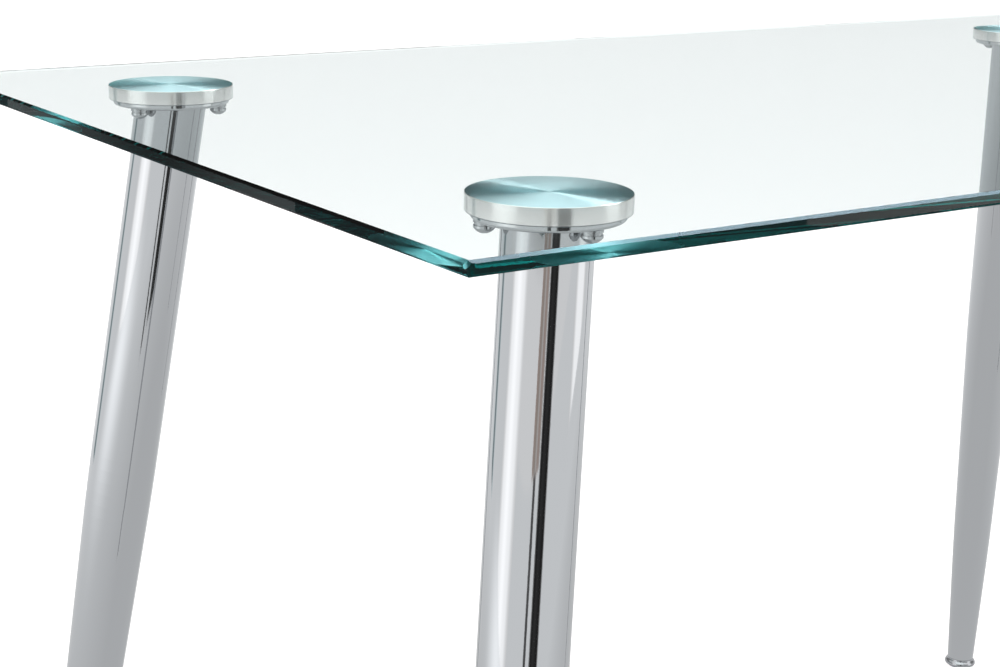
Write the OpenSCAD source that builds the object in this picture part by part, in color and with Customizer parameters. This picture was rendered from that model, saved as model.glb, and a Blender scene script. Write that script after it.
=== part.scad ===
// Glass dining table: one clear tempered pane on four splayed chrome legs.
// Origin: on the floor under the middle of the pane. +X runs along the pane's long side, +Z is up.
// Each leg hangs from an aluminium disc that is bonded to the underside of the glass.

/* [Table] */
// Length of the glass pane, along X
table_l = 1180; // [1000:10:1600]
// Width of the glass pane, along Y
table_w = 725; // [600:5:1000]
// Height of the glass's upper face above the floor
table_h = 750; // [700:5:780]

/* [Glass] */
// Thickness of the pane
glass_t = 8; // [6:1:12]
// Width of the polished bevel along every edge
glass_bevel = 1.5; // [0.5:0.1:2]
// Radius of the upright corners
glass_corner_r = 4; // [2:1:12]

/* [Leg placing] */
// Distance from the pane's short edge to the middle of a disc
leg_inset_x = 130; // [90:5:200]
// Distance from the pane's long edge to the middle of a disc
leg_inset_y = 122; // [90:2:200]
// How far a leg's foot stands out from its disc, along X
splay_x = 93; // [0:1:110]
// How far a leg's foot stands out from its disc, along Y
splay_y = 85; // [5:1:100]

/* [Leg tube] */
// Outside diameter of the straight upper stretch
leg_d = 51; // [45:1:55]
// Outside diameter where the quick taper starts
leg_mid_d = 39.6; // [36:0.2:44]
// Outside diameter at the foot
leg_end_d = 28.4; // [27:0.2:34]
// Length of the straight upper stretch
leg_straight = 302; // [200:1:400]
// Distance down the leg to where the quick taper starts
leg_slow_end = 579; // [480:1:620]
// Wall of the steel tube
leg_wall = 1.5; // [1:0.1:2]

/* [Disc and plate] */
// Diameter of the aluminium disc that is bonded to the glass
disc_d = 90; // [84:1:110]
// Thickness of the aluminium disc
disc_t = 10; // [8:0.5:16]
// Diameter of the chrome plate that is welded on the leg
plate_d = 84; // [80:1:84]
// Thickness of the chrome plate
plate_t = 4; // [3:0.5:6]
// Distance of the screws from the middle of the plate
screw_circle_r = 34.4; // [33.6:0.1:35]
// How far the three screws are turned about the plate from the way the leg leans
screw_turn = 7; // [0:1:15]

/* [Foot] */
// Diameter of the flared foot at its widest
foot_d = 34.4; // [32:0.2:40]
// Height of the foot with its glide, screwed right in
foot_h = 10; // [9:0.5:14]
// How far the foot can be screwed out to level the table
foot_travel = 8; // [2:1:10]

/* [Hidden] */
$fn = 96;

// the four corners of the table, as the signs of X and Y, with their names
CORNERS = [[-1, -1], [1, -1], [-1, 1], [1, 1]];
CORNER_NAMES = ["front_left", "front_right", "back_left", "back_right"];
LEG_PIECES = [
    "mounting_disc", "leg_plate", "plate_washers", "plate_screws", "leg_tube",
    "leg_end_plug", "foot_stud", "foot_base", "foot_glide"
];

// heights of the faces that meet, from the glass down
glass_z = table_h - glass_t;
disc_z = glass_z - disc_t;
plate_z = disc_z - plate_t;

// a leg leans out in one upright plane; its axis meets this height under the middle of the disc
splay = norm([splay_x, splay_y]);
lean_z = disc_z - plate_t / 2;
lean = atan(splay / lean_z);
leg_length = norm([splay, lean_z]);

// clearance between the leg's end and the foot, which moves
foot_gap = 0.4;
leg_end_z = foot_h + foot_gap;
foot_x = splay * (lean_z - leg_end_z) / lean_z;

// tube outline: how far the two bends are rounded along the leg, and the steps of each bend
bend_reach = 30;
bend_steps = 6;

// washers: a flat one against the plate and a narrower spring washer under it
flat_washer_r = 6.1;
spring_washer_r = 5.5;
washer_t = 1.6;
washer_hole_r = 3.2;
washers_h = 2 * washer_t;

// screws: M6 with a domed head, three to a plate
screw_shank_r = 3;
screw_head_r = 6;
screw_head_h = 4.6;
screw_rim_h = 1.3;
screw_thread_in = 7;
screw_grip = washers_h + plate_t + screw_thread_in;
screw_angles = [-60, 60, 180];
screw_slot_l = 6.4;
screw_slot_w = 1.1;
screw_slot_deep = 2;
screw_play = 0.05;
plate_hole_r = 3.3;
disc_hole_deep = 8;

// small roundings and chamfers
disc_chamfer = 0.6;
plate_edge_r = 2;
glide_chamfer = 0.5;

// foot: an M8 stud, a flared chrome base and a plastic glide let into its underside
stud_r = 4;
stud_play = 0.05;
stud_foot_z = 5;
stud_grip = 12; // thread left in the plug when the foot is screwed right out
stud_top_z = leg_end_z + stud_grip + foot_travel;
plug_h = 16;
plug_play = 0.05;
foot_neck_r = leg_end_d / 2;
foot_lip_z = 1.5;
foot_lip_r = 1.8;
glide_r = 14.6;
glide_let_in = 1.5;
glide_play = 0.2;
flare_steps = 10;

// anything longer than the table, to cut with
far = 2 * table_l;

// points on smooth curves that three and four points guide, for t from 0 to 1
function curve3(a, b, c, t) = (1 - t)^2 * a + 2 * t * (1 - t) * b + t^2 * c;
function curve4(a, b, c, d, t) =
    (1 - t)^3 * a + 3 * t * (1 - t)^2 * b + 3 * t^2 * (1 - t) * c + t^3 * d;

// radius of the tube's outside at distance s down the leg, with its bends left sharp
function sharp_r(s) =
    s < leg_straight ? leg_d / 2
    : s < leg_slow_end ? leg_d / 2 - (leg_d - leg_mid_d) / 2 * (s - leg_straight) / (leg_slow_end - leg_straight)
    : leg_mid_d / 2 - (leg_mid_d - leg_end_d) / 2 * (s - leg_slow_end) / (leg_length - leg_slow_end);
function on_leg(s) = [sharp_r(s), s];
function bend(s) = [
    for (i = [0 : bend_steps])
        curve3(on_leg(s - bend_reach), on_leg(s), on_leg(s + bend_reach), i / bend_steps)
];
tube_line = concat(
    [on_leg(-leg_d)],
    bend(leg_straight),
    bend(leg_slow_end),
    [on_leg(leg_length + leg_end_d)]
);

// puts its children at a corner: +X points the way the leg leans; legs on one diagonal are of one hand
module at_corner(corner) {
    $hand = corner.x * corner.y;
    translate([
        corner.x * (table_l / 2 - leg_inset_x),
        corner.y * (table_w / 2 - leg_inset_y),
        0
    ])
        rotate(atan2(corner.y * splay_y, corner.x * splay_x))
            children();
}

// turns its children so that their +Z runs down the leg from the lean point
module down_leg() {
    translate([0, 0, lean_z])
        rotate([0, 180 - lean, 0])
            children();
}

// the part of its children between two heights
module between(low, high) {
    intersection() {
        children();
        translate([-far / 2, -far / 2, low])
            cube([far, far, high - low]);
    }
}

// the space inside the outline of the tube, made thinner by a wall
module tube_space(wall) {
    inside = [for (p = tube_line) [p.x - wall, p.y]];
    down_leg()
        rotate_extrude()
            polygon(concat([[0, inside[0].y]], inside, [[0, inside[len(inside) - 1].y]]));
}

module at_screws() {
    for (angle = screw_angles)
        rotate(angle - $hand * screw_turn)
            translate([screw_circle_r, 0, 0])
                children();
}

// a bar along X whose section is the pane's, bevelled on all four edges
module bevelled_bar(length, width) {
    rotate([90, 0, 90])
        linear_extrude(length, center = true)
            polygon([
                [-width / 2 + glass_bevel, 0],
                [width / 2 - glass_bevel, 0],
                [width / 2, glass_bevel],
                [width / 2, glass_t - glass_bevel],
                [width / 2 - glass_bevel, glass_t],
                [-width / 2 + glass_bevel, glass_t],
                [-width / 2, glass_t - glass_bevel],
                [-width / 2, glass_bevel]
            ]);
}

module rounded_slab(length, width, thickness, radius) {
    linear_extrude(thickness) {
        square([length - 2 * radius, width], center = true);
        square([length, width - 2 * radius], center = true);
        for (corner = CORNERS)
            translate([corner.x * (length / 2 - radius), corner.y * (width / 2 - radius)])
                circle(radius);
    }
}

module glass_top() {
    color([0.78, 0.92, 0.9, 0.4])
        translate([0, 0, glass_z])
            intersection() {
                bevelled_bar(table_l, table_w);
                rotate(90) bevelled_bar(table_w, table_l);
                rounded_slab(table_l, table_w, glass_t, glass_corner_r);
            }
}

// turned disc, bonded to the glass by its upper face, tapped from below for the screws
module mounting_disc() {
    color([0.8, 0.83, 0.83])
        difference() {
            translate([0, 0, disc_z])
                rotate_extrude()
                    polygon([
                        [0, 0],
                        [disc_d / 2 - disc_chamfer, 0],
                        [disc_d / 2, disc_chamfer],
                        [disc_d / 2, disc_t - disc_chamfer],
                        [disc_d / 2 - disc_chamfer, disc_t],
                        [0, disc_t]
                    ]);
            at_screws()
                translate([0, 0, disc_z - 1])
                    cylinder(h = disc_hole_deep + 1, r = screw_shank_r + screw_play);
        }
}

// pressed plate on top of the tube, with a rounded lower rim and three clearance holes
module leg_plate() {
    color([0.86, 0.87, 0.88])
        difference() {
            translate([0, 0, plate_z])
                rotate_extrude() {
                    square([plate_d / 2 - plate_edge_r, plate_t]);
                    translate([0, plate_edge_r]) square([plate_d / 2, plate_t - plate_edge_r]);
                    translate([plate_d / 2 - plate_edge_r, plate_edge_r]) circle(plate_edge_r);
                }
            at_screws()
                translate([0, 0, plate_z - 1])
                    cylinder(h = plate_t + 2, r = plate_hole_r);
        }
}

module plate_washers() {
    color([0.72, 0.73, 0.74])
        at_screws()
            translate([0, 0, plate_z])
                difference() {
                    union() {
                        translate([0, 0, -washer_t]) cylinder(h = washer_t, r = flat_washer_r);
                        translate([0, 0, -washers_h]) cylinder(h = washer_t, r = spring_washer_r);
                    }
                    translate([0, 0, -washers_h - 1])
                        cylinder(h = washers_h + 2, r = washer_hole_r);
                }
}

// one screw, head down, with the face that grips at z = 0
module dome_screw() {
    dome_h = screw_head_h - screw_rim_h;
    dome_r = (screw_head_r^2 + dome_h^2) / (2 * dome_h);
    cylinder(h = screw_grip, r = screw_shank_r);
    difference() {
        translate([0, 0, -screw_head_h])
            intersection() {
                cylinder(h = screw_head_h, r = screw_head_r);
                translate([0, 0, dome_r]) sphere(dome_r);
            }
        for (turn = [0, 90])
            rotate(turn)
                translate([-screw_slot_l / 2, -screw_slot_w / 2, -screw_head_h - 1])
                    cube([screw_slot_l, screw_slot_w, screw_slot_deep + 1]);
    }
}

module plate_screws() {
    color([0.8, 0.81, 0.82])
        at_screws()
            translate([0, 0, plate_z - washers_h])
                dome_screw();
}

module leg_tube() {
    color([0.84, 0.85, 0.87])
        between(leg_end_z, plate_z)
            difference() {
                tube_space(0);
                tube_space(leg_wall);
            }
}

// steel plug inside the tube's end; its thread stands upright although the tube leans
module leg_end_plug() {
    color([0.55, 0.56, 0.58])
        difference() {
            between(leg_end_z, leg_end_z + plug_h)
                tube_space(leg_wall + plug_play);
            translate([foot_x, 0, leg_end_z - 1])
                cylinder(h = plug_h + 2, r = stud_r + stud_play);
        }
}

module foot_stud() {
    color([0.7, 0.71, 0.72])
        translate([foot_x, 0, stud_foot_z])
            cylinder(h = stud_top_z - stud_foot_z, r = stud_r);
}

// flared base: its side swings out from the tube's width to the lip, which is rounded under
module foot_base() {
    lip_r = foot_d / 2;
    lip_top = foot_lip_z + foot_lip_r;
    middle = (foot_h + lip_top) / 2;
    flare = [
        for (i = [0 : flare_steps])
            curve4([lip_r, lip_top], [lip_r, middle], [foot_neck_r, middle], [foot_neck_r, foot_h], i / flare_steps)
    ];
    color([0.82, 0.83, 0.85])
        translate([foot_x, 0, 0])
            difference() {
                rotate_extrude() {
                    polygon(concat([[0, lip_top]], flare, [[0, foot_h]]));
                    translate([0, foot_lip_z]) square([lip_r - foot_lip_r, foot_lip_r]);
                    translate([lip_r - foot_lip_r, lip_top])
                        intersection() {
                            circle(foot_lip_r);
                            translate([0, -foot_lip_r]) square(foot_lip_r);
                        }
                }
                translate([0, 0, foot_lip_z - 1])
                    cylinder(h = glide_let_in + 1, r = glide_r + glide_play);
                translate([0, 0, stud_foot_z])
                    cylinder(h = foot_h, r = stud_r + stud_play);
            }
}

module foot_glide() {
    glide_h = foot_lip_z + glide_let_in;
    color([0.25, 0.26, 0.28])
        translate([foot_x, 0, 0])
            rotate_extrude()
                polygon([
                    [0, 0],
                    [glide_r - glide_chamfer, 0],
                    [glide_r, glide_chamfer],
                    [glide_r, glide_h],
                    [0, glide_h]
                ]);
}

// draws one piece of a leg at each corner that is asked for
module leg_piece(name) {
    for (i = [0 : 3])
        at_corner(CORNERS[i])
                children();
}

glass_top();
leg_piece("mounting_disc") mounting_disc();
leg_piece("leg_plate") leg_plate();
leg_piece("plate_washers") plate_washers();
leg_piece("plate_screws") plate_screws();
leg_piece("leg_tube") leg_tube();
leg_piece("leg_end_plug") leg_end_plug();
leg_piece("foot_stud") foot_stud();
leg_piece("foot_base") foot_base();
leg_piece("foot_glide") foot_glide();
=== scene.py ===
"""The looks of the glass dining table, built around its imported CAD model.

Everything is in metres, in the CAD model's own frame: +X along the pane, +Y towards the back, +Z up.
"""
import math

import bpy
from mathutils import Matrix, Vector


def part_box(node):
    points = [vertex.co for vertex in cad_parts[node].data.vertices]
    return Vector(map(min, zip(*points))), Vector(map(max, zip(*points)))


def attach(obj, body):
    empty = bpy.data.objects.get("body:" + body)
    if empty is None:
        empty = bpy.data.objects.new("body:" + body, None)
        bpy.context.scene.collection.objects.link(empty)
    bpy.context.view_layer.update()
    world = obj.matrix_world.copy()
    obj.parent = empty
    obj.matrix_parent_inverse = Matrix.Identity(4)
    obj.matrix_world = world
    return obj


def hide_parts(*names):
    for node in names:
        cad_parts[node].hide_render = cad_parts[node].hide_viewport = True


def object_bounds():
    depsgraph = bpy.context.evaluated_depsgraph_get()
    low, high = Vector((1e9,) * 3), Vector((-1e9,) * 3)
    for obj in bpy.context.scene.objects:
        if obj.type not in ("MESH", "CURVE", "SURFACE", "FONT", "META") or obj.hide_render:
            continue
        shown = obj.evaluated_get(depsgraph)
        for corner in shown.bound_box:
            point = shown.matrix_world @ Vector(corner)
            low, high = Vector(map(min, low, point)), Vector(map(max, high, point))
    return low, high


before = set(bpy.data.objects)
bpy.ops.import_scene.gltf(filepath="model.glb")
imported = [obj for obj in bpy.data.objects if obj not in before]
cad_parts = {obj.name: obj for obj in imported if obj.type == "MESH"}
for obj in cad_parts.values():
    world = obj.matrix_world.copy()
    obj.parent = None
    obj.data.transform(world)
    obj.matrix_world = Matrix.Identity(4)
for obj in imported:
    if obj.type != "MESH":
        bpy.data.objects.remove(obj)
cad_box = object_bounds()

MM = 0.001
WHITE = (1, 1, 1, 1)
CORNERS = ("front_left", "front_right", "back_left", "back_right")


# ---------------------------------------------------------------- shader helpers

def new_material(name):
    """A material without nodes, and its node tree."""
    material = bpy.data.materials.new(name)
    material.use_nodes = True
    material.node_tree.nodes.clear()
    return material, material.node_tree


def add(tree, kind, inputs=None, **settings):
    """A new node. Inputs are values or other nodes' sockets; settings are the node's own properties."""
    made = tree.nodes.new(kind)
    for key, value in settings.items():
        setattr(made, key, value)
    for key, value in (inputs or {}).items():
        socket = made.inputs[key] if isinstance(key, int) else enabled_input(made, key)
        if isinstance(value, bpy.types.NodeSocket):
            tree.links.new(value, socket)
        else:
            socket.default_value = value
    return made


def enabled_input(node, name):
    """The input of that name that the node uses; some nodes hide others of the same name."""
    return next(socket for socket in node.inputs if socket.name == name and socket.enabled)


def math_node(tree, operation, *values):
    """One step of arithmetic on numbers."""
    return add(tree, "ShaderNodeMath", dict(enumerate(values)), operation=operation).outputs[0]


def vector_node(tree, operation, *values):
    """One step of arithmetic on vectors. A LENGTH or a DISTANCE comes out as a number."""
    made = add(tree, "ShaderNodeVectorMath", dict(enumerate(values)), operation=operation)
    return made.outputs["Value" if operation in ("LENGTH", "DISTANCE") else "Vector"]


def part_of(tree, vector, axis):
    """A vector's X, Y or Z."""
    return add(tree, "ShaderNodeSeparateXYZ", {"Vector": vector}).outputs[axis]


def coordinate(tree, kind):
    """Where a point is. Generated runs from 0 to 1 over a piece's box, and in a world it is a direction."""
    return add(tree, "ShaderNodeTexCoord").outputs[kind]


def stretched(tree, vector, scale):
    """A vector scaled along each axis."""
    return add(tree, "ShaderNodeMapping", {"Vector": vector, "Scale": scale}).outputs["Vector"]


def noise(tree, vector, scale, detail, roughness=0.5):
    """Soft noise, 0 to 1."""
    inputs = {"Vector": vector, "Scale": scale, "Detail": detail, "Roughness": roughness}
    return add(tree, "ShaderNodeTexNoise", inputs).outputs["Fac"]


def ramp(tree, factor, stops, interpolation="LINEAR"):
    """A colour ramp; stops are (position, grey or colour) pairs."""
    made = add(tree, "ShaderNodeValToRGB", {"Fac": factor})
    elements = made.color_ramp.elements
    made.color_ramp.interpolation = interpolation
    while len(elements) < len(stops):
        elements.new(1.0)
    for element, (position, value) in zip(elements, stops):
        element.position = position
        element.color = (*value, 1) if isinstance(value, tuple) else (value, value, value, 1)
    return made.outputs["Color"]


def spread(tree, value, low, high, start=0.0, end=1.0, interpolation="LINEAR"):
    """Value, start to end, carried over to low to high."""
    inputs = {"Value": value, "From Min": start, "From Max": end, "To Min": low, "To Max": high}
    return add(tree, "ShaderNodeMapRange", inputs, interpolation_type=interpolation).outputs[0]


def colour_mix(tree, factor, first, second):
    """The first colour at factor 0, the second at 1."""
    inputs = {"Factor": factor, "A": first, "B": second}
    return add(tree, "ShaderNodeMix", inputs, data_type="RGBA").outputs[2]


def shader_mix(tree, factor, first, second):
    """The first shader at factor 0, the second at 1."""
    inputs = {0: factor, 1: first.outputs[0], 2: second.outputs[0]}
    return add(tree, "ShaderNodeMixShader", inputs)


def emission(tree, colour, strength):
    """A shader that gives light."""
    return add(tree, "ShaderNodeEmission", {"Color": colour, "Strength": strength})


def bump(tree, height, strength, depth):
    """The normals of a surface whose relief is that deep."""
    inputs = {"Strength": strength, "Distance": depth, "Height": height}
    return add(tree, "ShaderNodeBump", inputs).outputs["Normal"]


def set_surface(tree, surface):
    """Ends a tree in its surface shader. The output node comes back for what else it may take."""
    return add(tree, "ShaderNodeOutputMaterial", {"Surface": surface.outputs[0]})


def set_principled(tree, inputs):
    """Ends a tree in one Principled surface."""
    set_surface(tree, add(tree, "ShaderNodeBsdfPrincipled", inputs))


# ---------------------------------------------------------------- camera

# The eye stands off the front left corner, a little above the pane, and looks down across it.
EYE = Vector((-1.0179, -1.0204, 0.9293))
YAW = math.radians(34.10)
PITCH = math.radians(15.10)
ROLL = math.radians(0.96)
SENSOR_WIDTH = 36.0
FOCAL_LENGTH = 66.46
SIGHT_END = 200.0


def make_camera():
    """A camera that looks along +Y, turned right by the yaw and down by the pitch, and rolled."""
    data = bpy.data.cameras.new("camera")
    data.sensor_width = SENSOR_WIDTH
    data.lens = FOCAL_LENGTH
    data.clip_end = SIGHT_END
    camera = bpy.data.objects.new("camera", data)
    turn = Matrix.Rotation(-YAW, 4, "Z")
    turn @= Matrix.Rotation(math.pi / 2 - PITCH, 4, "X")
    turn @= Matrix.Rotation(ROLL, 4, "Z")
    camera.matrix_world = Matrix.Translation(EYE) @ turn
    bpy.context.scene.collection.objects.link(camera)
    bpy.context.scene.camera = camera


# ---------------------------------------------------------------- studio

# The room's light by the height of a direction, from 0 at the horizon to 1 overhead.
ROOM_LIGHT = [(0.0, 0.66), (0.10, 0.66), (0.17, 0.20), (0.45, 0.18), (0.65, 0.75), (1.0, 1.0)]
ROOM_THROUGH_PANE = [(0.0, 0.02), (0.30, 0.03), (0.60, 0.65), (1.0, 1.0)]
ROOM_STRENGTH = 1.5
MIRRORED_BY_PANE_STRENGTH = 0.5
THROUGH_PANE_STRENGTH = 2.2

FLOOR_HALF = 40.0
PAPER = (0.5, 0.5, 0.5, 1)
PAPER_GLOW = (1.03, 1, 1, 1)
PAPER_GLOW_STRENGTH = 0.83
TURNED_BACK_STRENGTH = 0.34

# What mirrors see of the floor: light that grows away from the table, and a bright patch to its left.
DIM_DISTANCE, LIT_DISTANCE = 0.5, 2.4
DIM_LIGHT, FULL_LIGHT = 0.68, 0.94
PATCH_MIDDLE = (-3.2, 0.3, 0)
PATCH_REACH = 1.9
PATCH_LIGHT = 0.55
FLOOR_IN_CHROME = (0.975, 0.99, 1.0, 1)
FLOOR_IN_PANE = (0.19, 0.285, 0.30, 1)


def by_pane(tree, path):
    """Two numbers: 1 for light that comes through the pane, and 1 for light that it mirrors, else 0.

    The pane is the only perfectly smooth surface, so a singular ray is always one of its own.
    """
    through = path.outputs["Is Transmission Ray"]
    return through, math_node(tree, "SUBTRACT", path.outputs["Is Singular Ray"], through)


def make_world():
    """A studio lit from overhead and from low white walls, with a dim band between them.

    The pane mirrors the room at a third of its strength. Light that comes in through the pane sees no low
    walls, so the turned discs keep their dark wedges.
    """
    world = bpy.data.worlds.new("studio")
    world.use_nodes = True
    tree = world.node_tree
    tree.nodes.clear()
    through, mirrored = by_pane(tree, add(tree, "ShaderNodeLightPath"))
    height = part_of(tree, coordinate(tree, "Generated"), "Z")
    light = colour_mix(tree, through, ramp(tree, height, ROOM_LIGHT), ramp(tree, height, ROOM_THROUGH_PANE))
    room_strength = spread(tree, mirrored, ROOM_STRENGTH, MIRRORED_BY_PANE_STRENGTH)
    strength = spread(tree, through, room_strength, THROUGH_PANE_STRENGTH)
    background = add(tree, "ShaderNodeBackground", {"Color": light, "Strength": strength})
    add(tree, "ShaderNodeOutputWorld", {"Surface": background.outputs[0]})
    world.cycles.sampling_method = "NONE"
    bpy.context.scene.world = world


def flat_mesh(name, corners):
    """An object of one flat face."""
    mesh = bpy.data.meshes.new(name)
    mesh.from_pydata(corners, [], [range(len(corners))])
    piece = bpy.data.objects.new(name, mesh)
    bpy.context.scene.collection.objects.link(piece)
    return piece


def make_floor():
    """White to the eye, with soft contact shadows. Mirrors see it as a floor whose backdrop is lit apart.

    The pane mirrors it in a darker, greener tone than chrome does. Light that was turned back inside the
    pane finds it dimmer than the paper, so the pane's edges stay deep.
    """
    material, tree = new_material("studio_floor")
    path = add(tree, "ShaderNodeLightPath")
    through, mirrored = by_pane(tree, path)

    paper = add(tree, "ShaderNodeBsdfDiffuse", {"Color": PAPER})
    glow = emission(tree, PAPER_GLOW, PAPER_GLOW_STRENGTH)
    lit_paper = add(tree, "ShaderNodeAddShader", {0: paper.outputs[0], 1: glow.outputs[0]})
    turned_back = math_node(tree, "MINIMUM", path.outputs["Glossy Depth"], through)
    white = shader_mix(tree, turned_back, lit_paper, emission(tree, WHITE, TURNED_BACK_STRENGTH))

    point = coordinate(tree, "Object")
    away = vector_node(tree, "LENGTH", point)
    backdrop = spread(tree, away, DIM_LIGHT, FULL_LIGHT, DIM_DISTANCE, LIT_DISTANCE)
    from_patch = vector_node(tree, "DISTANCE", point, PATCH_MIDDLE)
    patch = spread(tree, from_patch, PATCH_LIGHT, 0.0, 0.0, PATCH_REACH, "SMOOTHSTEP")
    tone = colour_mix(tree, mirrored, FLOOR_IN_CHROME, FLOOR_IN_PANE)
    seen_in_mirrors = emission(tree, tone, math_node(tree, "ADD", backdrop, patch))

    # Light that comes through the pane counts as glossy too.
    in_mirror = math_node(tree, "SUBTRACT", path.outputs["Is Glossy Ray"], through)
    set_surface(tree, shader_mix(tree, in_mirror, white, seen_in_mirrors))
    material.cycles.emission_sampling = "NONE"

    quarters = ((-1, -1), (1, -1), (1, 1), (-1, 1))
    floor = flat_mesh("studio_floor", [(x * FLOOR_HALF, y * FLOOR_HALF, 0) for x, y in quarters])
    floor.data.materials.append(material)


# ---------------------------------------------------------------- cards

MOST_BOUNCES = 5
CARD_STRENGTH = 2.0
HANGING_DISTANCE = 2.5
COOL_LIGHT = (0.62, 0.86, 1.0)
DOOR_SIDES = (0.35, 0.40, 0.41)
DOOR_MIDDLE = (0.10, 0.12, 0.125)


def seen_by(tree, viewer):
    """1 for the light paths that see a card, else 0.

    The viewer is "every mirror", "the pane" for what the pane's outer faces mirror, or "under the pane" for
    what is mirrored beneath them.
    """
    path = add(tree, "ShaderNodeLightPath")
    off_floors = math_node(tree, "LESS_THAN", path.outputs["Diffuse Depth"], 0.5)
    short = math_node(tree, "LESS_THAN", path.outputs["Ray Depth"], MOST_BOUNCES + 0.5)
    mirrored = math_node(tree, "MINIMUM", path.outputs["Glossy Depth"], 1.0)
    near = math_node(tree, "MULTIPLY", math_node(tree, "MULTIPLY", off_floors, short), mirrored)
    within = math_node(tree, "MINIMUM", path.outputs["Transmission Depth"], 1.0)
    if viewer == "every mirror":
        return near
    if viewer == "under the pane":
        return math_node(tree, "MULTIPLY", near, within)
    by_glass = math_node(tree, "SUBTRACT", path.outputs["Is Singular Ray"], within)
    return math_node(tree, "MULTIPLY", near, math_node(tree, "MAXIMUM", by_glass, 0.0))


def card_material(name, stops, strength, viewer):
    """Light for one kind of viewer, clear to all others. Stops are the light along the card's width."""
    material, tree = new_material(name)
    across = part_of(tree, coordinate(tree, "UV"), "X")
    glow = emission(tree, ramp(tree, across, stops, "EASE"), strength)
    clear = add(tree, "ShaderNodeBsdfTransparent")
    set_surface(tree, shader_mix(tree, seen_by(tree, viewer), clear, glow))
    material.cycles.emission_sampling = "NONE"
    return material


def place_card(name, corners, material):
    """A card that only mirrors and glass see. Its corners start at one end of its width."""
    card = flat_mesh(name, corners)
    uv = card.data.uv_layers.new(name="UVMap")
    for loop, place in zip(uv.data, ((0, 0), (1, 0), (1, 1), (0, 1))):
        loop.uv = place
    card.data.materials.append(material)
    card.visible_camera = False
    card.visible_diffuse = False
    card.visible_shadow = False


def upright_card(name, middle, facing, width, bottom, top, stops):
    """An upright card, its width run from left to right as it is faced, and its facing in degrees."""
    turn = math.radians(facing)
    along = Vector((-math.cos(turn), math.sin(turn), 0)) * width / 2
    foot = Vector((*middle, 0))
    low, high = Vector((0, 0, bottom)), Vector((0, 0, top))
    corners = [foot - along + low, foot + along + low, foot + along + high, foot - along + high]
    place_card(name, corners, card_material(name, stops, CARD_STRENGTH, "every mirror"))


def hanging_card(name, azimuth, elevation, width, height, stops, strength, viewer):
    """A card that hangs square to a line from the pane's middle.

    The line's azimuth, from +Y towards +X, and its elevation are in degrees.
    """
    turn = Matrix.Rotation(-math.radians(azimuth), 3, "Z")
    turn @= Matrix.Rotation(math.radians(elevation), 3, "X")
    middle = Vector((0, 0, cad_box[1][2])) + turn @ Vector((0, HANGING_DISTANCE, 0))
    side = turn @ Vector((width / 2, 0, 0))
    rise = turn @ Vector((0, 0, height / 2))
    corners = [middle - side - rise, middle + side - rise, middle + side + rise, middle - side + rise]
    place_card(name, corners, card_material(name, stops, strength, viewer))


def make_cards():
    """Soft boxes beside and above the table, and dark shapes beside the camera and behind the table."""
    upright_card(
        "softbox_left", middle=(-3.77, 0.28), facing=90, width=2.6, bottom=0.0, top=3.0,
        stops=[(0.0, 0.50), (0.25, 0.75), (0.5, 0.85), (0.75, 0.75), (1.0, 0.50)],
    )
    upright_card(
        "softbox_right", middle=(2.07, -1.76), facing=-60, width=1.7, bottom=0.15, top=3.0,
        stops=[(0.0, 0.45), (0.3, 0.74), (0.7, 0.74), (1.0, 0.45)],
    )
    upright_card(
        "camera_stand", middle=(-0.685, -1.14), facing=20, width=0.33, bottom=0.0, top=1.9,
        stops=[(0.0, 0.25), (0.15, 0.01), (0.6, 0.02), (0.85, 0.01), (1.0, 0.15)],
    )
    upright_card(
        "table_beside_camera", middle=(-0.975, -1.02), facing=30, width=0.26, bottom=0.60, top=1.9,
        stops=[
            (0.0, (0.26, 0.24, 0.23)), (0.3, (0.22, 0.17, 0.15)), (0.5, (0.30, 0.28, 0.27)),
            (0.7, (0.2, 0.17, 0.15)), (1.0, (0.24, 0.19, 0.17)),
        ],
    )
    upright_card(
        "stand_leg", middle=(-0.985, -1.01), facing=30, width=0.09, bottom=0.0, top=0.60,
        stops=[(0.0, 0.10), (0.5, 0.04), (1.0, 0.10)],
    )
    upright_card(
        "door_edge", middle=(-1.48, 2.04), facing=156, width=0.50, bottom=0.0, top=3.0,
        stops=[(0.0, DOOR_SIDES), (0.5, DOOR_MIDDLE), (1.0, DOOR_SIDES)],
    )
    hanging_card(
        "softbox_above", azimuth=112, elevation=47, width=2.6, height=2.2,
        stops=[(0.0, COOL_LIGHT), (1.0, COOL_LIGHT)], strength=9.0, viewer="the pane",
    )
    hanging_card(
        "strip_light", azimuth=110, elevation=44, width=0.9, height=1.4,
        stops=[(0.0, 0.4), (0.5, 1.0), (1.0, 0.4)], strength=190.0, viewer="under the pane",
    )


# ---------------------------------------------------------------- glass

GLASS_IOR = 1.52
GLASS_TINT = (0.0, 0.71, 0.70, 1)
GLASS_DENSITY = 9.0

# The share that the coated pane mirrors, by the share that bare glass would. Light that can't leave the
# glass is turned back whole.
COAT_SHARE = 0.35
NEARLY_ALL = 0.96
MIRRORED_SHARE = [(0.0, 0.0), (0.05, 0.05), (0.10, 0.06), (NEARLY_ALL, NEARLY_ALL * COAT_SHARE), (1.0, 1.0)]


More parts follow.
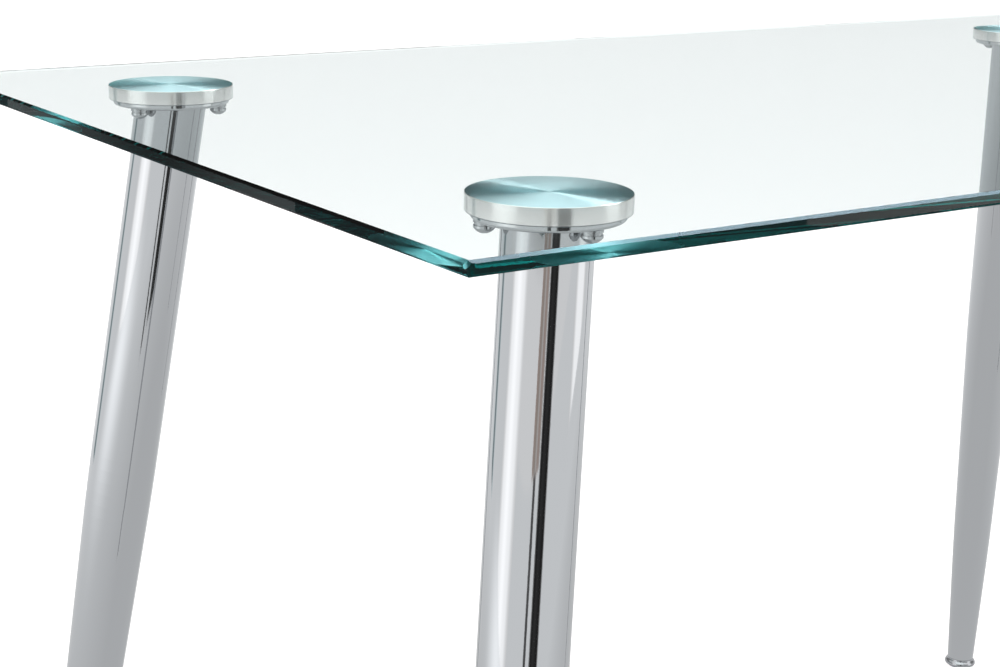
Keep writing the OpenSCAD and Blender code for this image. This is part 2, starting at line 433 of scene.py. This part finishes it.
def glass_material():
    """Clear float glass: green in the depth, colourless through its thickness, and coated to mirror less."""
    material, tree = new_material("clear_glass")
    bare_share = add(tree, "ShaderNodeFresnel", {"IOR": GLASS_IOR}).outputs[0]
    share = ramp(tree, bare_share, MIRRORED_SHARE)
    bent = add(tree, "ShaderNodeBsdfRefraction", {"Color": WHITE, "Roughness": 0.0, "IOR": GLASS_IOR})
    mirror = add(tree, "ShaderNodeBsdfAnisotropic", {"Color": WHITE, "Roughness": 0.0})
    output = set_surface(tree, shader_mix(tree, share, bent, mirror))
    depth = add(tree, "ShaderNodeVolumeAbsorption", {"Color": GLASS_TINT, "Density": GLASS_DENSITY})
    tree.links.new(depth.outputs[0], output.inputs["Volume"])
    return material


# ---------------------------------------------------------------- metals and plastic

HAIR_SCALE = (900, 900, 60)
GRAIN_SCALE = (200, 200, 900)


def chrome_material(name, grey, roughness, wear_scale=(60, 60, 12)):
    """Polished chrome with faint haze and hairline wear that run along the piece."""
    material, tree = new_material(name)
    point = coordinate(tree, "Object")
    haze = noise(tree, stretched(tree, point, wear_scale), scale=3.0, detail=4.0, roughness=0.6)
    hairs = noise(tree, stretched(tree, point, HAIR_SCALE), scale=2.0, detail=2.0)
    set_principled(tree, {
        "Base Color": (*grey, 1),
        "Metallic": 1.0,
        "Roughness": spread(tree, haze, roughness * 0.6, roughness * 1.5),
        "Normal": bump(tree, hairs, strength=0.015, depth=0.2 * MM),
    })
    return material


def steel_material(name, grey, roughness):
    """Plain steel with a fine grain."""
    material, tree = new_material(name)
    point = coordinate(tree, "Object")
    grain = noise(tree, stretched(tree, point, GRAIN_SCALE), scale=2.0, detail=3.0)
    set_principled(tree, {
        "Base Color": (*grey, 1),
        "Metallic": 1.0,
        "Roughness": spread(tree, grain, roughness * 0.8, roughness * 1.3),
        "Normal": bump(tree, grain, strength=0.1, depth=0.3 * MM),
    })
    return material


def plastic_material(name, grey):
    """Moulded plastic with a fine spark-eroded grain, scuffed where it slides."""
    material, tree = new_material(name)
    point = coordinate(tree, "Object")
    grain = noise(tree, point, scale=2600.0, detail=2.0)
    scuff = noise(tree, point, scale=120.0, detail=4.0, roughness=0.7)
    scuffed = tuple(1.6 * part for part in grey)
    set_principled(tree, {
        "Base Color": ramp(tree, scuff, [(0.35, grey), (0.75, scuffed)]),
        "Roughness": spread(tree, scuff, 0.45, 0.7),
        "Normal": bump(tree, grain, strength=0.25, depth=0.2 * MM),
    })
    return material


# How far up a normal of the disc points: more than this on its upper face, and less than this on its side.
FACES_UP = 0.9
FACES_SIDEWAYS = 0.5
RINGS_ACROSS = 260.0
HEIGHT_TO_WIDTH = 0.11
TURNED_ALUMINIUM = (1.0, 0.98, 0.96)
# Painted shade for the disc's lower rim, where it meets the plate.
PAINTED_RIM_SHADE = (0.16, 0.19, 0.21)
BONDING_FILM = (0.76, 0.93, 0.97, 1)
FACE_ROUGHNESS = (0.28, 0.34)
SIDE_ROUGHNESS = (0.20, 0.30)
SIDE_METALLIC = 0.82
QUARTER_TURN = 0.25


def turned_material(name):
    """Aluminium with a lathe's fine rings, a blue-green bonding film on top, and painted shade low on its
    side.
    """
    material, tree = new_material(name)
    spot = coordinate(tree, "Generated")
    centred = vector_node(tree, "ADD", spot, (-0.5, -0.5, 0))
    radius = vector_node(tree, "LENGTH", vector_node(tree, "MULTIPLY", centred, (1, 1, 0)))
    height = part_of(tree, spot, "Z")
    facing = part_of(tree, coordinate(tree, "Normal"), "Z")
    on_top = math_node(tree, "GREATER_THAN", facing, FACES_UP)
    on_side = math_node(tree, "LESS_THAN", math_node(tree, "ABSOLUTE", facing), FACES_SIDEWAYS)

    across = math_node(tree, "ADD", radius, math_node(tree, "MULTIPLY", height, HEIGHT_TO_WIDTH))
    ring_inputs = {"W": across, "Scale": RINGS_ACROSS, "Detail": 3.0}
    rings = add(tree, "ShaderNodeTexNoise", ring_inputs, noise_dimensions="1D").outputs["Fac"]
    # The side's colour darkens to a painted shade along its lowest rim, where the disc meets the plate.
    side_colour_and_painted_shade = ramp(tree, height, [(0.03, PAINTED_RIM_SHADE), (0.07, TURNED_ALUMINIUM)])
    roughness = add(tree, "ShaderNodeMix", {
        "Factor": on_side,
        "A": spread(tree, rings, *FACE_ROUGHNESS),
        "B": spread(tree, rings, *SIDE_ROUGHNESS),
    })
    set_principled(tree, {
        "Base Color": colour_mix(tree, on_top, side_colour_and_painted_shade, BONDING_FILM),
        "Metallic": spread(tree, on_side, 1.0, SIDE_METALLIC),
        "Roughness": roughness.outputs[0],
        "Anisotropic": 1.0,
        "Anisotropic Rotation": QUARTER_TURN,
        "Tangent": add(tree, "ShaderNodeTangent", direction_type="RADIAL", axis="Z").outputs[0],
        "Normal": bump(tree, rings, strength=0.05, depth=0.2 * MM),
    })
    return material


# ---------------------------------------------------------------- turned discs

TURN_STEPS = 144
SMOOTH_ANGLE = math.radians(30)
ROUND_STEPS = 6
DISC_EDGE = 0.6 * MM
BOND_DEPTH = 0.06 * MM


def lathe(name, profile, middle):
    """A closed solid turned round the upright line through middle.

    The profile's points are (radius, z), and it runs from axis to axis.
    """
    verts = []
    rings = []
    for radius, z in profile:
        if radius == 0:
            rings.append([len(verts)])
            verts.append((*middle, z))
            continue
        rings.append(range(len(verts), len(verts) + TURN_STEPS))
        for step in range(TURN_STEPS):
            angle = 2 * math.pi * step / TURN_STEPS
            verts.append((middle[0] + radius * math.cos(angle), middle[1] + radius * math.sin(angle), z))
    faces = []
    for low, high in zip(rings, rings[1:]):
        for step in range(TURN_STEPS):
            after = (step + 1) % TURN_STEPS
            if len(low) == 1:
                faces.append((low[0], high[after], high[step]))
            elif len(high) == 1:
                faces.append((low[step], low[after], high[0]))
            else:
                faces.append((low[step], low[after], high[after], high[step]))
    mesh = bpy.data.meshes.new(name)
    mesh.from_pydata(verts, [], faces)
    mesh.validate()
    mesh.update()
    for polygon in mesh.polygons:
        polygon.use_smooth = True
    mesh.set_sharp_from_angle(angle=SMOOTH_ANGLE)
    piece = bpy.data.objects.new(name, mesh)
    bpy.context.scene.collection.objects.link(piece)
    return piece


def rounded_edge(radius, z, start):
    """A quarter turn of the disc's rounded edge, from the angle start, about the point (radius, z)."""
    angles = [start + math.pi / 2 * step / ROUND_STEPS for step in range(ROUND_STEPS + 1)]
    return [(radius + DISC_EDGE * math.cos(angle), z + DISC_EDGE * math.sin(angle)) for angle in angles]


def make_discs(material):
    """Turned aluminium discs, bonded a hair's breadth into the underside of the pane."""
    for corner in CORNERS:
        node = f"mounting_disc_{corner}"
        low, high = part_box(node)
        middle = ((low[0] + high[0]) / 2, (low[1] + high[1]) / 2)
        inner_radius = (high[0] - low[0]) / 2 - DISC_EDGE
        bottom, top = low[2], high[2] + BOND_DEPTH
        profile = [(0, bottom)]
        profile += rounded_edge(inner_radius, bottom + DISC_EDGE, -math.pi / 2)
        profile += rounded_edge(inner_radius, top - DISC_EDGE, 0)
        profile += [(0, top)]
        piece = lathe(f"turned_disc_{corner}", profile, middle)
        piece.data.materials.append(material)
        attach(piece, "table")
        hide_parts(node)


# ---------------------------------------------------------------- the whole

def dress_nodes():
    """Gives every CAD node its material, save the mounting discs that the turned discs stand in for."""
    finishes = {
        "leg_plate": chrome_material("chrome_plate", (0.62, 0.63, 0.64), 0.06, (40, 40, 40)),
        "plate_screws": chrome_material("screw_steel", (0.58, 0.59, 0.60), 0.10, (90, 90, 90)),
        "plate_washers": steel_material("washer_steel", (0.50, 0.51, 0.52), 0.25),
        "leg_tube": chrome_material("chrome_tube", (0.56, 0.57, 0.585), 0.05),
        "leg_end_plug": steel_material("plug_steel", (0.42, 0.42, 0.43), 0.4),
        "foot_stud": steel_material("stud_steel", (0.62, 0.61, 0.58), 0.3),
        "foot_base": chrome_material("chrome_foot", (0.44, 0.45, 0.47), 0.16, (90, 90, 90)),
        "foot_glide": plastic_material("glide_plastic", (0.03, 0.03, 0.033)),
    }
    for kind, material in finishes.items():
        for corner in CORNERS:
            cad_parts[f"{kind}_{corner}"].material_slots[0].material = material
    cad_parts["glass_top"].material_slots[0].material = glass_material()


def set_light_paths():
    """Light runs a long way inside the pane before it leaves by an edge. Colours are shown as they are."""
    cycles = bpy.context.scene.cycles
    cycles.max_bounces = 64
    cycles.glossy_bounces = 40
    cycles.transmission_bounces = 40
    cycles.diffuse_bounces = 3
    bpy.context.scene.view_settings.view_transform = "Standard"


make_camera()
make_world()
make_floor()
make_cards()
make_discs(turned_material("aluminium_disc"))
dress_nodes()
set_light_paths()
